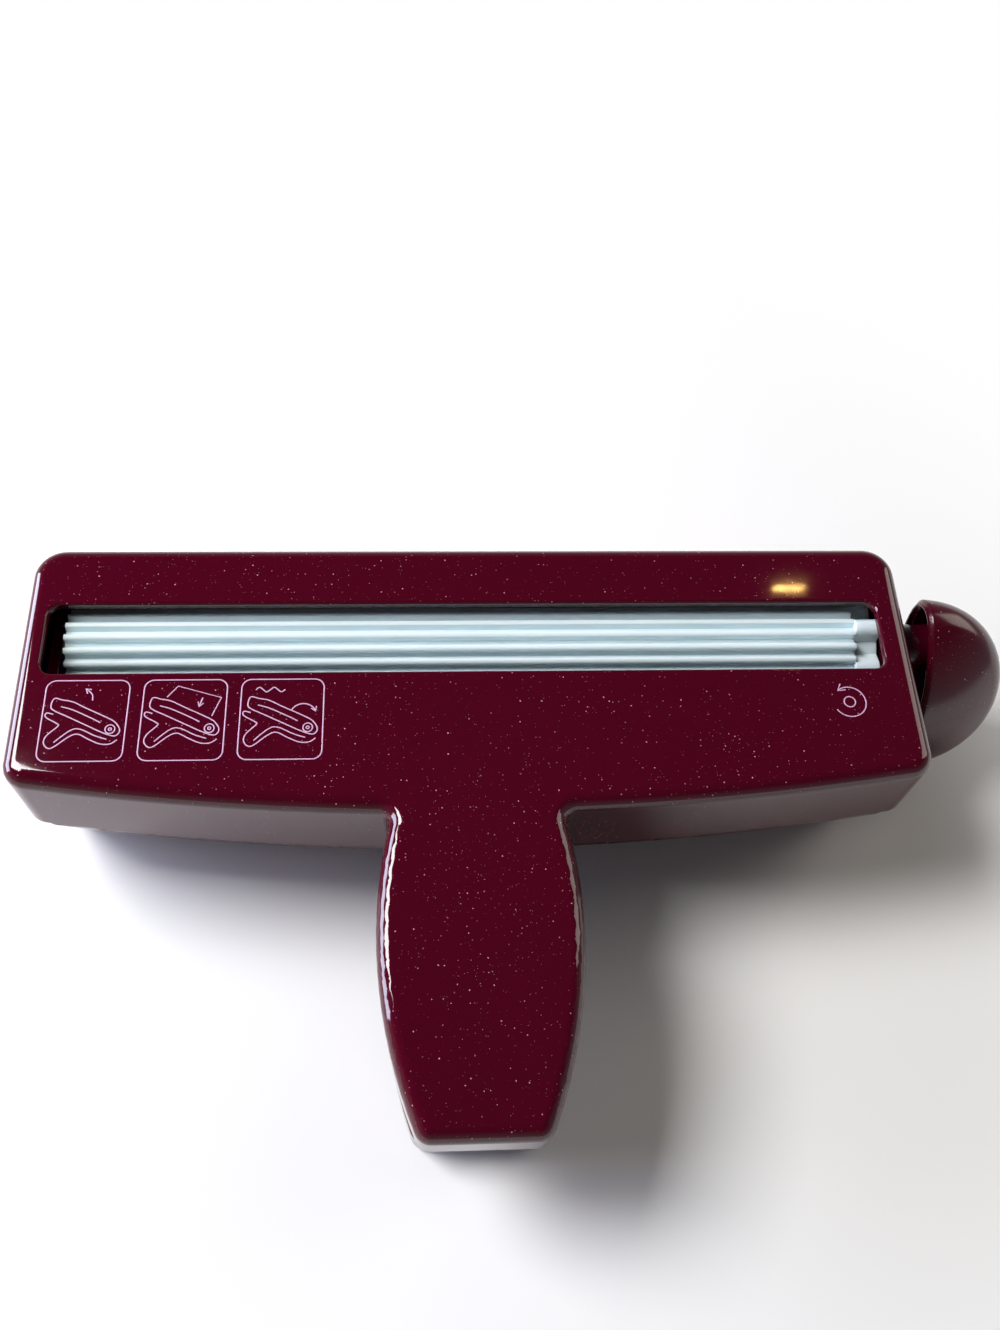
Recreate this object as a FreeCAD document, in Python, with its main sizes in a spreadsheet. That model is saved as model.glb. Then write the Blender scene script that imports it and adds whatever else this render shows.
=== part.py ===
import FreeCAD, Part
import math
import os
import Sketcher

# A hand paper crimper: two hinged casings with paddle handles, a ridged roller in each,
# gears that turn the rollers together, and a hollow crank on the upper roller's axle.
# Millimetres. X runs along the rollers towards the crank, -Y towards the handles, +Z up.
# The origin is the middle of the flat underside that the crimper rests on.

V = FreeCAD.Vector

SIZES = [
    # name, value, what it sets
    ("body_length", 253, "casing, end to end"),
    ("body_depth", 73.5, "casing, back face to front corner"),
    ("front_bow", 10, "how far the front face bows out at its middle"),
    ("front_corner", 7, "corner radius in plan, front"),
    ("back_corner", 9, "corner radius in plan, back"),
    ("upper_height", 28.3, "upper casing, rim to top face"),
    ("lower_height", 27.3, "lower casing, rim to underside"),
    ("paper_gap", 4.4, "slot between the two rims"),
    ("lower_inset", 0.6, "lower rim inside the upper rim, each side"),
    ("front_lean", 12.7, "lower casing, set-back of the front face at its underside"),
    ("end_taper", 1.3, "lower casing, set-back of ends and back at its underside"),
    ("wall", 2.4, "moulded wall"),
    ("top_edge", 4.3, "rounding of the upper casing's top edge"),
    ("under_edge", 4, "rounding of the lower casing's bottom edge"),
    ("handle_reach", 92.2, "handle tip beyond the casing's front corner"),
    ("handle_width", 53.5, "handle at its widest"),
    ("handle_widest", 40.7, "widest place beyond the casing's front corner"),
    ("handle_side_radius", 127, "bow of the handle's sides in plan"),
    ("handle_tip_corner", 4.5, "corner radius at the handle's tip"),
    ("neck_fillet", 3, "inside corner between casing and handle"),
    ("grip_edge", 2.5, "rounding along the top of the lower handle"),
    ("upper_level", 14.7, "level stretch of the upper handle before it droops"),
    ("upper_droop", 4.8, "fall of the upper handle's top at its tip"),
    ("upper_tip", 14.2, "thickness of the upper handle at its tip"),
    ("upper_arch", 29, "length of the arch under the upper handle's root"),
    ("upper_arch_rise", 10.8, "rise of that arch above the rim"),
    ("lower_short", 5.5, "lower handle shorter than the upper one"),
    ("lower_narrow", 0.5, "lower handle narrower than the upper one, each side"),
    ("lower_level", 13.7, "level stretch of the lower handle's top"),
    ("lower_droop", 11.3, "fall of the lower handle's top at its tip"),
    ("grip_depth", 14.5, "thickness of the lower handle at its root"),
    ("grip_level", 22.7, "level stretch of the lower handle's underside"),
    ("grip_fall", 10.8, "fall of the lower handle's underside at its tip"),
    ("roller_inset", 25.25, "roller axes in front of the casing's back face"),
    ("axis_spacing", 24.8, "upper roller axis above the lower one"),
    ("ridge_root", 10.9, "radius between the ridges"),
    ("ridge_shoulder", 12.8, "radius at a ridge's shoulders"),
    ("ridge_count", 20, "ridges round a roller"),
    ("ridge_foot", 2.4, "width of a ridge at its root"),
    ("ridge_top", 1.6, "width of a ridge at its shoulders"),
    ("ridge_crest", 1.3, "radius of a ridge's crest"),
    ("lobe_root", 9.6, "radius between the gear teeth"),
    ("lobe_shoulder", 11.9, "radius at a gear tooth's shoulders"),
    ("lobe_count", 6, "teeth of a gear"),
    ("lobe_foot", 6.4, "width of a gear tooth at its root"),
    ("lobe_top", 5.4, "width of a gear tooth at its shoulders"),
    ("lobe_crest", 2.75, "radius of a gear tooth's end"),
    ("tooth_sink", 0.6, "how deep ridges and teeth start inside their core"),
    ("gear_width", 7, "gear, along the axle"),
    ("axle_radius", 3, "steel axle"),
    ("running", 0.05, "radial room of a turning axle or pin"),
    ("end_play", 0.4, "room at each end of a turning roller"),
    ("bush_wall", 1.5, "bearing bush, wall"),
    ("flange_radius", 6, "bearing bush, flange"),
    ("flange_width", 1, "bearing bush, flange along the axle"),
    ("rib_width", 3, "bearing rib, along the axle"),
    ("left_bay", 3.4, "left bearing rib from the end wall"),
    ("rib_height", 8.5, "bearing rib beyond the axis"),
    ("rib_sink", 0.6, "how far a bearing rib reaches into the walls"),
    ("clip_width", 0.8, "retaining clip, along the axle"),
    ("clip_radius", 5, "retaining clip, outside"),
    ("clip_groove", 2.5, "radius at the bottom of the clip's groove"),
    ("clip_mouth", 4.2, "gap of the retaining clip"),
    ("clip_play", 0.1, "room between clip and bush"),
    ("axle_stub", 1.4, "axle end beyond a left bush"),
    ("axle_chamfer", 0.4, "chamfer on the ends of an axle"),
    ("deck_wall", 2.4, "inner deck and handle liner"),
    ("seat_gap", 0.3, "room round a fitted cover"),
    ("slot_half", 12.4, "half width of the roller slot in a deck"),
    ("slot_room", 0.2, "roller slot beyond the bearing flanges"),
    ("window_left", 6.5, "window, left end from the casing's end"),
    ("window_right", 8.6, "window, right end from the casing's end"),
    ("window_front", 16.5, "window edge in front of the roller axes"),
    ("window_back", 5.5, "window edge behind the roller axes"),
    ("window_corner", 3.5, "window, corner radius"),
    ("window_lip", 0.9, "rounding of the window's upper edge"),
    ("screw_radius", 1.5, "self-tapping screw, shank"),
    ("screw_head", 2.8, "self-tapping screw, head"),
    ("head_height", 1.2, "self-tapping screw, head height"),
    ("screw_length", 10, "self-tapping screw, shank length"),
    ("screw_point", 1, "self-tapping screw, chamfer of its end"),
    ("recess_half", 1.8, "cross recess, length of an arm"),
    ("recess_width", 0.8, "cross recess, width of an arm"),
    ("recess_depth", 0.7, "cross recess, depth"),
    ("screw_room", 0.06, "room round a screw in a cover"),
    ("thread_room", 0.03, "room round a screw in its boss"),
    ("thread_end", 0.4, "room beyond a screw's end"),
    ("boss_radius", 3.2, "screw boss"),
    ("boss_room", 0.1, "room between a boss and its cover"),
    ("cup_radius", 4.4, "thickened place round a liner screw"),
    ("seat_slope", 0.8, "extra depth of a screw seat in a liner"),
    ("screw_back", 6.65, "back screws in front of the casing's back face"),
    ("back_inset", 45, "back screws from the casing's ends"),
    ("screw_front", 16.25, "front screws behind the casing's front corner"),
    ("inner_spread", 38, "inner front screws, from the middle each way"),
    ("outer_inset", 23, "outer front screws from the casing's ends"),
    ("liner_near", 39, "near liner screw beyond the casing's front corner"),
    ("liner_far", 75, "far liner screw beyond the casing's front corner"),
    ("hinge_back", 4.35, "hinge axis behind the casing's back face"),
    ("hinge_inset", 10.8, "hinge knuckles from the casing's ends"),
    ("knuckle_radius", 4, "hinge knuckle and ears"),
    ("knuckle_width", 3, "middle knuckle, along the pin"),
    ("knuckle_room", 0.3, "room between knuckle and ear"),
    ("ear_width", 2.4, "each outer ear, along the pin"),
    ("ear_height", 16.5, "ear's root above the hinge axis"),
    ("ear_start", 2.9, "lower end of the ear's root above the hinge axis"),
    ("pin_radius", 1.5, "hinge pin"),
    ("pin_head", 2.4, "head of the hinge pin"),
    ("pin_head_width", 1, "head of the hinge pin, along the pin"),
    ("pin_play", 0.1, "room under the head of the hinge pin"),
    ("lip_height", 4.1, "end lips that close the slot beside the paper"),
    ("lip_front", 9.25, "end lips, front end behind the casing's front corner"),
    ("lip_back", 13.05, "end lips, back end in front of the casing's back face"),
    ("crank_stand", 8.6, "crank rim beyond the end of the casing"),
    ("crank_reach", 28.3, "crank's egg-shaped shell, from its middle along the lever and outward"),
    ("crank_half", 14.2, "crank's shell, half its width across the lever"),
    ("crank_nose", 9, "radius in which the crank's shell ends along the lever"),
    ("crank_throw", 13.1, "middle of the crank's shell from the axle"),
    ("crank_slope", 58, "degrees by which the lever hangs below level"),
    ("crank_wall", 3, "crank's moulded wall"),
    ("crank_lip", 1.2, "chamfer of the crank's rim, inside and outside"),
    ("hub_boss", 7, "boss inside the crank"),
    ("axle_grip", 15, "length of axle inside the crank's boss"),
    ("axle_flat", 0.7, "depth of each flat on the axle's crank end"),
    ("grip_room", 0.02, "room round the axle in the crank"),
    ("washer_radius", 6, "thrust washer"),
    ("washer_width", 0.8, "thrust washer, along the axle"),
]


class Size:
    """A length with its value and the formula by which the document binds it to the sheet."""

    def __init__(self, value, formula):
        self.value = float(value)
        self.formula = formula

    def join(self, symbol, other, value):
        return Size(value, f"({self.formula} {symbol} {other.formula})")

    def __add__(self, other):
        other = as_size(other)
        return self.join("+", other, self.value + other.value)

    def __sub__(self, other):
        other = as_size(other)
        return self.join("-", other, self.value - other.value)

    def __mul__(self, other):
        other = as_size(other)
        return self.join("*", other, self.value * other.value)

    def __truediv__(self, other):
        other = as_size(other)
        return self.join("/", other, self.value / other.value)

    def __neg__(self):
        return Size(-self.value, f"(0 - {self.formula})")


def as_size(number):
    return number if isinstance(number, Size) else Size(number, repr(float(number)))


def root(size):
    return Size(math.sqrt(size.value), f"sqrt({size.formula})")


def sine(degrees):
    return Size(math.sin(math.radians(degrees.value)), f"sin({degrees.formula} * 1 deg)")


def cosine(degrees):
    return Size(math.cos(math.radians(degrees.value)), f"cos({degrees.formula} * 1 deg)")


def arc_radius(run, rise):
    """Radius of an arc that starts level and has moved by rise after run."""
    return (run * run + rise * rise) / (rise * 2)


def arc_fall(radius, run):
    """How far an arc that started level has moved after run."""
    return radius - root(radius * radius - run * run)


doc = FreeCAD.newDocument("paper_crimper")
sheet = doc.addObject("Spreadsheet::Sheet", "sizes")


class S:
    """The driving sizes by name."""


for row, (name, value, meaning) in enumerate(SIZES, start=1):
    sheet.set(f"A{row}", meaning)
    sheet.set(f"B{row}", str(value))
    sheet.setAlias(f"B{row}", name)
    setattr(S, name, Size(value, f"sizes.{name}"))
doc.recompute()

# ------------------------------------------------------------ places worked out from the sizes

ZERO = as_size(0)
HALF_LENGTH = S.body_length / 2
BACK_FACE = S.body_depth / 2
FRONT_CORNER = -BACK_FACE
FRONT_MIDDLE = FRONT_CORNER - S.front_bow
ROLLER_Y = BACK_FACE - S.roller_inset
LOWER_RIM = S.lower_height
UPPER_RIM = LOWER_RIM + S.paper_gap
TOP_FACE = UPPER_RIM + S.upper_height
CEILING = TOP_FACE - S.wall
PAPER_PLANE = LOWER_RIM + S.paper_gap / 2
UPPER_AXIS = PAPER_PLANE + S.axis_spacing / 2
LOWER_AXIS = PAPER_PLANE - S.axis_spacing / 2
END_WALL = HALF_LENGTH - S.wall
LOWER_HOLLOW = S.lower_inset + S.wall

UPPER_TIP = FRONT_CORNER - S.handle_reach
LOWER_TIP = UPPER_TIP + S.lower_short
HANDLE_WIDEST = FRONT_CORNER - S.handle_widest
BEYOND_TIP = UPPER_TIP - 5
ARCH_FOOT = FRONT_MIDDLE - 0.8

RIGHT_RIB = END_WALL - S.rib_width
GEAR_RIGHT = RIGHT_RIB - S.flange_width - S.end_play
ROLLER_RIGHT = GEAR_RIGHT - S.gear_width
LEFT_RIB_OUTER = S.left_bay - END_WALL
LEFT_RIB = LEFT_RIB_OUTER + S.rib_width
ROLLER_LEFT = LEFT_RIB + S.flange_width + S.end_play
AXLE_LEFT = LEFT_RIB_OUTER - S.axle_stub
CLIP_RIGHT = LEFT_RIB_OUTER - S.clip_play
CLIP_LEFT = CLIP_RIGHT - S.clip_width
AXLE_BORE = S.axle_radius + S.running
BUSH_RADIUS = AXLE_BORE + S.bush_wall
CRANK_BUSH_END = HALF_LENGTH + S.end_play
WASHER_LEFT = CRANK_BUSH_END + S.running
BOSS_FACE = WASHER_LEFT + S.washer_width
AXLE_RIGHT = BOSS_FACE + S.axle_grip
CRANK_RIM = HALF_LENGTH + S.crank_stand
CRANK_Y = ROLLER_Y - S.crank_throw * cosine(S.crank_slope)
CRANK_Z = UPPER_AXIS - S.crank_throw * sine(S.crank_slope)

HINGE_X = HALF_LENGTH - S.hinge_inset
HINGE_Y = BACK_FACE + S.hinge_back
EAR_OFFSET = S.knuckle_width / 2 + S.knuckle_room + S.ear_width / 2
HINGE_HALF = EAR_OFFSET + S.ear_width / 2

SCREW_HOLE = S.screw_radius + S.screw_room
THREAD_HOLE = S.screw_radius + S.thread_room
HEAD_HOLE = S.screw_head + S.screw_room
NEAR_SCREW = FRONT_CORNER - S.liner_near
FAR_SCREW = FRONT_CORNER - S.liner_far
DECK_SCREWS = [
    (side * across, along)
    for along, spreads in ((BACK_FACE - S.screw_back, [HALF_LENGTH - S.back_inset]),
                           (FRONT_CORNER + S.screw_front, [S.inner_spread, HALF_LENGTH - S.outer_inset]))
    for across in spreads
    for side in (as_size(-1), as_size(1))
]


class Handle:
    """The side view of one handle. Top and underside each run level and then fall in an arc."""

    def __init__(self, tip, narrow, hollow_start, top, top_start, top_fall,
                 under, under_start, under_fall, arch):
        self.tip = tip
        self.narrow = narrow
        self.hollow_start = hollow_start
        self.top = top
        self.top_start = top_start
        self.top_arc = arc_radius(top_start - tip, top_fall)
        self.top_end = top - top_fall
        self.under = under
        self.under_start = under_start
        self.under_arc = arc_radius(under_start - tip, under_fall)
        self.under_end = under - under_fall
        self.arch = arch

    def top_at(self, place):
        return self.top - arc_fall(self.top_arc, self.top_start - place)

    def seat_at(self, place):
        """Level on which a liner screw's head bears."""
        fall = arc_fall(self.under_arc, self.under_start - place)
        return self.under - fall + S.head_height + S.seat_slope


UPPER_HANDLE = Handle(
    UPPER_TIP, ZERO, FRONT_MIDDLE - S.wall,
    TOP_FACE, FRONT_CORNER - S.upper_level, S.upper_droop,
    UPPER_RIM + S.upper_arch_rise, ARCH_FOOT - S.upper_arch,
    S.upper_arch_rise - S.upper_height + S.upper_droop + S.upper_tip,
    [(ARCH_FOOT, UPPER_RIM)])
LOWER_HANDLE = Handle(
    LOWER_TIP, S.lower_narrow, FRONT_MIDDLE - S.lower_inset,
    LOWER_RIM, FRONT_CORNER - S.lower_level, S.lower_droop,
    LOWER_RIM - S.grip_depth, FRONT_CORNER - S.grip_level, S.grip_fall,
    [(-S.wall * 10, LOWER_RIM - S.grip_depth)])

# ------------------------------------------------------------ sketches


def origin_plane(body, role):
    return next(item for item in body.Origin.OriginFeatures if item.Role == role)


def short_arc(start, end, radius, turn):
    """An arc of less than half a turn from start to end."""
    chord = end - start
    rise = math.sqrt(radius ** 2 - (chord.Length / 2) ** 2)
    centre = (start + end) / 2 + V(-chord.y, chord.x, 0).normalize() * rise * turn
    first, last = (start, end) if turn > 0 else (end, start)
    begin = math.atan2(first.y - centre.y, first.x - centre.x)
    finish = math.atan2(last.y - centre.y, last.x - centre.x)
    if finish < begin:
        finish += 2 * math.pi
    return Part.ArcOfCircle(Part.Circle(centre, V(0, 0, 1), radius), begin, finish)


class Outline:
    """A sketch on one of a body's origin planes, with every corner and radius bound to the sheet."""

    def __init__(self, body, name, role="XY_Plane", offset=ZERO, shift=(ZERO, ZERO)):
        self.sketch = body.newObject("Sketcher::SketchObject", name)
        self.sketch.AttachmentSupport = (origin_plane(body, role), [""])
        self.sketch.MapMode = "FlatFace"
        place = V(shift[0].value, shift[1].value, offset.value)
        self.sketch.AttachmentOffset = FreeCAD.Placement(place, FreeCAD.Rotation())
        for axis, size in zip("xyz", (*shift, offset)):
            self.sketch.setExpression(f"AttachmentOffset.Base.{axis}", size.formula)

    def add(self, shape):
        return self.sketch.addGeometry(shape, False)

    def tie(self, *terms):
        return self.sketch.addConstraint(Sketcher.Constraint(*terms))

    def bind(self, kind, size, *parts):
        number = self.tie(kind, *parts, size.value)
        self.sketch.setExpression(f"Constraints[{number}]", size.formula)

    def place(self, edge, end, x, y):
        for kind, axis, size in (("DistanceX", -2, x), ("DistanceY", -1, y)):
            if size is ZERO:
                self.tie("PointOnObject", edge, end, axis)
            else:
                self.bind(kind, size, -1, 1, edge, end)

    def loop(self, corners):
        """A closed loop of corners (x, y), or (x, y, radius, turn) where an arc leaves the corner.

        turn is 1 for an arc that runs anticlockwise and -1 for one that runs clockwise.
        """
        points = [V(corner[0].value, corner[1].value, 0) for corner in corners]
        ends = []
        for index, corner in enumerate(corners):
            start, end = points[index], points[(index + 1) % len(points)]
            if len(corner) == 2:
                ends.append((self.add(Part.LineSegment(start, end)), 1, 2))
                continue
            radius, turn = corner[2:]
            edge = self.add(short_arc(start, end, radius.value, turn))
            ends.append((edge, 1, 2) if turn > 0 else (edge, 2, 1))
        for index, (edge, first, last) in enumerate(ends):
            following = ends[(index + 1) % len(ends)]
            self.tie("Coincident", edge, last, following[0], following[1])
            self.place(edge, first, *corners[index][:2])
            if len(corners[index]) > 2:
                self.bind("Radius", corners[index][2], edge)
        return self

    def box(self, left, right, low, high):
        return self.loop([(left, low), (right, low), (right, high), (left, high)])

    def circle(self, x, y, radius):
        edge = self.add(Part.Circle(V(x.value, y.value, 0), V(0, 0, 1), radius.value))
        self.place(edge, 3, x, y)
        self.bind("Radius", radius, edge)
        return self

    def turn(self, degrees):
        self.sketch.setExpression("AttachmentOffset.Rotation.Angle", degrees.formula)
        return self

    def circles(self, places, radius):
        for x, y in places:
            self.circle(x, y, radius)
        return self


# ------------------------------------------------------------ features


def new_body(name):
    body = doc.addObject("PartDesign::Body", name)
    body.Label = name
    return body


def bind(feature, prop, size):
    setattr(feature, prop, size.value)
    feature.setExpression(prop, size.formula)


def grow(body, kind, name, outline, length, reverse, both):
    feature = body.newObject(f"PartDesign::{kind}", name)
    feature.Profile = outline.sketch
    feature.SideType = "Symmetric" if both else "One side"
    feature.Reversed = reverse
    bind(feature, "Length", length)
    doc.recompute()
    return feature


def pad(body, name, outline, length, reverse=False, both=False):
    """Add material along the sketch's normal, or against it when reversed."""
    return grow(body, "Pad", name, outline, length, reverse, both)


def pocket(body, name, outline, length, reverse=False, both=False):
    """Cut against the sketch's normal, or along it when reversed."""
    before = body.Tip.Shape.Volume
    feature = grow(body, "Pocket", name, outline, length, reverse, both)
    if feature.Shape.Volume > before - 0.01:
        raise RuntimeError(f"{body.Label}: {name} cuts nothing")
    return feature


def middle(edge):
    return edge.valueAt((edge.FirstParameter + edge.LastParameter) / 2)


def edges_where(body, test):
    edges = enumerate(body.Tip.Shape.Edges, start=1)
    return [f"Edge{number}" for number, edge in edges if test(edge, middle(edge))]


def faces_where(body, test):
    faces = enumerate(body.Tip.Shape.Faces, start=1)
    return [f"Face{number}" for number, face in faces if test(face, face.CenterOfMass)]


def near(a, b, room=0.05):
    return abs(a - b) < room


def is_upright(edge):
    span = edge.valueAt(edge.LastParameter) - edge.valueAt(edge.FirstParameter)
    return abs(span.z) > 0.7 * max(span.Length, 1)


def is_flat(face):
    return face.Surface.TypeId == "Part::GeomPlane"


def is_level(face):
    return is_flat(face) and abs(face.normalAt(0, 0).z) > 0.99


def dress(body, kind, name, prop, size, test):
    """A fillet or chamfer on every edge that passes the test."""
    base = body.Tip
    chosen = edges_where(body, test)
    if not chosen:
        raise RuntimeError(f"{body.Label}: {name} finds no edge")
    feature = body.newObject(f"PartDesign::{kind}", name)
    feature.Base = (base, chosen)
    bind(feature, prop, size)
    doc.recompute()
    return feature


def fillet(body, name, radius, test):
    return dress(body, "Fillet", name, "Radius", radius, test)


def chamfer(body, name, size, test):
    return dress(body, "Chamfer", name, "Size", size, test)


def lean(body, name, set_back, test):
    """Lean the chosen faces of the lower casing inward from its rim downward."""
    base = body.Tip
    rim = faces_where(body, lambda face, at: is_level(face) and near(at.z, LOWER_RIM.value))
    leaning = faces_where(body, test)
    feature = body.newObject("PartDesign::Draft", name)
    feature.Base = (base, leaning)
    feature.NeutralPlane = (base, rim)
    feature.Reversed = True
    angle = math.degrees(math.atan2(set_back.value, S.lower_height.value))
    bind(feature, "Angle", Size(angle, f"atan({set_back.formula} / sizes.lower_height)"))
    doc.recompute()
    return feature


def join_body(body, name, tool, kind):
    feature = body.newObject("PartDesign::Boolean", name)
    feature.Type = kind
    feature.setObjects([tool])
    doc.recompute()
    return feature


# ------------------------------------------------------------ casings


def casing_block(body, name, rim, inset, wall, height, down):
    """A casing's outside or, given a wall, its hollow: straight ends and back and a bowed front.

    It stands on the rim and rises, or hangs from it with leaning sides when down is set.
    """
    sides = inset + wall
    end = HALF_LENGTH - sides
    front, back = FRONT_CORNER + sides, BACK_FACE - sides
    outline = Outline(body, f"{name}_plan", offset=rim).loop([
        (-end, front, arc_radius(end, S.front_bow), 1), (end, front), (end, back), (-end, back)])
    pad(body, f"{name}_block", outline, height, down)
    if down:
        lean(body, f"{name}_front_lean", S.front_lean,
             lambda face, at: face.Surface.TypeId == "Part::GeomCylinder")
        lean(body, f"{name}_end_lean", S.end_taper, lambda face, at: is_flat(face) and not is_level(face))

    def stands(edge, y):
        ends = edge.valueAt(edge.FirstParameter), edge.valueAt(edge.LastParameter)
        return is_upright(edge) and any(near(p.z, rim.value) and near(p.y, y.value) for p in ends)

    fillet(body, f"{name}_front_corners", S.front_corner - wall, lambda edge, at: stands(edge, front))
    fillet(body, f"{name}_back_corners", S.back_corner - wall, lambda edge, at: stands(edge, back))


def casing_core(name, rim, inset, height, down):
    core = new_body(name)
    casing_block(core, name, rim, inset, S.wall, height - S.wall, down)
    return core


def rib_slab(name, start, low, high):
    slab = new_body(name)
    outline = Outline(slab, f"{name}_outline", "YZ_Plane", start)
    outline.box(FRONT_MIDDLE, BACK_FACE, low, high)
    pad(slab, f"{name}_slab", outline, S.rib_width)
    return slab


def add_rib(body, slab, rim, inset, height, down):
    """A bearing rib that fills the casing from wall to wall, round its corners too."""
    depth = S.wall - S.rib_sink
    room = new_body(f"{slab.Name}_room")
    casing_block(room, room.Name, rim, inset, depth, height - depth, down)
    join_body(slab, f"{slab.Name}_fit", room, "Common")
    join_body(body, f"{slab.Name}_seat", slab, "Fuse")


def handle_plan(body, name, handle, inset, start, low):
    """Plan of a handle. Its sides are single arcs about the widest place."""
    side = inset + handle.narrow
    tip = handle.tip + inset

    def half_width(place):
        return S.handle_width / 2 - arc_fall(S.handle_side_radius, HANDLE_WIDEST - place) - side

    return Outline(body, name, offset=low).loop([
        (-half_width(start), start, S.handle_side_radius, 1), (-half_width(tip), tip),
        (half_width(tip), tip, S.handle_side_radius, 1), (half_width(start), start)])


def round_tip(body, handle, inset):
    tip = (handle.tip + inset).value
    fillet(body, f"{body.Name}_tip", S.handle_tip_corner - inset,
           lambda edge, at: is_upright(edge) and near(at.y, tip))


def trim_top(body, handle, drop):
    """Cut away what stands above the handle's falling top."""
    tip, start = handle.tip, handle.top_start
    high = TOP_FACE + 10
    outline = Outline(body, f"{body.Name}_over", "YZ_Plane").loop([
        (tip, handle.top_end - drop, handle.top_arc, -1), (start, handle.top - drop),
        (start, high), (BEYOND_TIP, high), (BEYOND_TIP, handle.top_end - drop)])
    pocket(body, f"{body.Name}_droop", outline, S.handle_width * 2, both=True)


def trim_under(body, handle, lift, far_side, name):
    """Cut away what lies between the handle's lifted underside and the level far_side."""
    tip, start, under = handle.tip, handle.under_start, handle.under + lift
    arch_end, arch_level = handle.arch[0]
    leaving = (start, under)
    if handle is UPPER_HANDLE:
        leaving = (start, under, arc_radius(arch_end - start, S.upper_arch_rise), -1)
    outline = Outline(body, f"{body.Name}_{name}", "YZ_Plane").loop([
        (tip, handle.under_end + lift, handle.under_arc, -1), leaving, (arch_end, arch_level + lift),
        (arch_end, far_side), (BEYOND_TIP, far_side), (BEYOND_TIP, handle.under_end + lift)])
    pocket(body, f"{body.Name}_{name}_cut", outline, S.handle_width * 2, both=True)


def handle_core(name, handle):
    """The hollow of a handle, open downward."""
    core = new_body(name)
    low = -as_size(5)
    plan = handle_plan(core, f"{name}_plan", handle, S.wall, handle.hollow_start, low)
    pad(core, f"{name}_block", plan, handle.top - S.wall - low)
    round_tip(core, handle, S.wall)
    trim_top(core, handle, S.wall)
    return core


def add_bosses(body, name, places, start, end):
    outline = Outline(body, f"{name}_outline", offset=start).circles(places, S.boss_radius)
    pad(body, name, outline, end - start)


def drill(body, name, places, start, depth, radius, reverse=False):
    outline = Outline(body, f"{name}_outline", offset=start).circles(places, radius)
    pocket(body, name, outline, depth, reverse)


def add_liner_bosses(body, handle):
    for name, place in (("near", NEAR_SCREW), ("far", FAR_SCREW)):
        seat = handle.seat_at(place)
        start = seat + S.head_height + S.boss_room
        end = handle.top_at(place) - S.wall / 2
        add_bosses(body, f"{body.Name}_{name}_boss", [(ZERO, place)], start, end)
        depth = seat + S.screw_length + S.thread_end - start
        drill(body, f"{body.Name}_{name}_thread", [(ZERO, place)], start, depth, THREAD_HOLE, True)


def bore(body, name, start, depth, height, radius):
    """A round hole along X from a place, at the rollers' distance from the middle."""
    outline = Outline(body, f"{name}_outline", "YZ_Plane", start).circle(ROLLER_Y, height, radius)
    pocket(body, name, outline, depth, True)


def add_hinge(body, offsets, width, up, hole):
    """Hinge barrels at both ends, on webs from the back wall, above the pin (1) or below it (-1)."""
    wall_y = BACK_FACE - S.wall * 0.9
    made = []
    for number, offset in enumerate(offsets, start=1):
        centre = HINGE_X + offset
        name = f"{body.Name}_ear{number}"
        web = Outline(body, f"{name}_web_outline", "YZ_Plane", centre).loop([
            (wall_y, PAPER_PLANE + S.ear_height * up), (wall_y, PAPER_PLANE + S.ear_start * up),
            (HINGE_Y - S.knuckle_radius, PAPER_PLANE + S.ear_start * up),
            (HINGE_Y - S.knuckle_radius, PAPER_PLANE), (HINGE_Y, PAPER_PLANE),
            (HINGE_Y + S.knuckle_radius * 0.85, PAPER_PLANE + S.knuckle_radius * (0.53 * up))])
        made.append(pad(body, f"{name}_web", web, width, both=True))
        barrel = Outline(body, f"{name}_barrel_outline", "YZ_Plane", centre)
        barrel.circle(HINGE_Y, PAPER_PLANE, S.knuckle_radius)
        made.append(pad(body, f"{name}_barrel", barrel, width, both=True))
    mirror = body.newObject("PartDesign::Mirrored", f"{body.Name}_ears_left")
    mirror.Originals = made
    mirror.MirrorPlane = (origin_plane(body, "YZ_Plane"), [""])
    body.Tip = mirror
    doc.recompute()
    pin = Outline(body, f"{body.Name}_pin_outline", "YZ_Plane").circle(HINGE_Y, PAPER_PLANE, hole)
    pocket(body, f"{body.Name}_pin_hole", pin, S.body_length, both=True)


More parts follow.
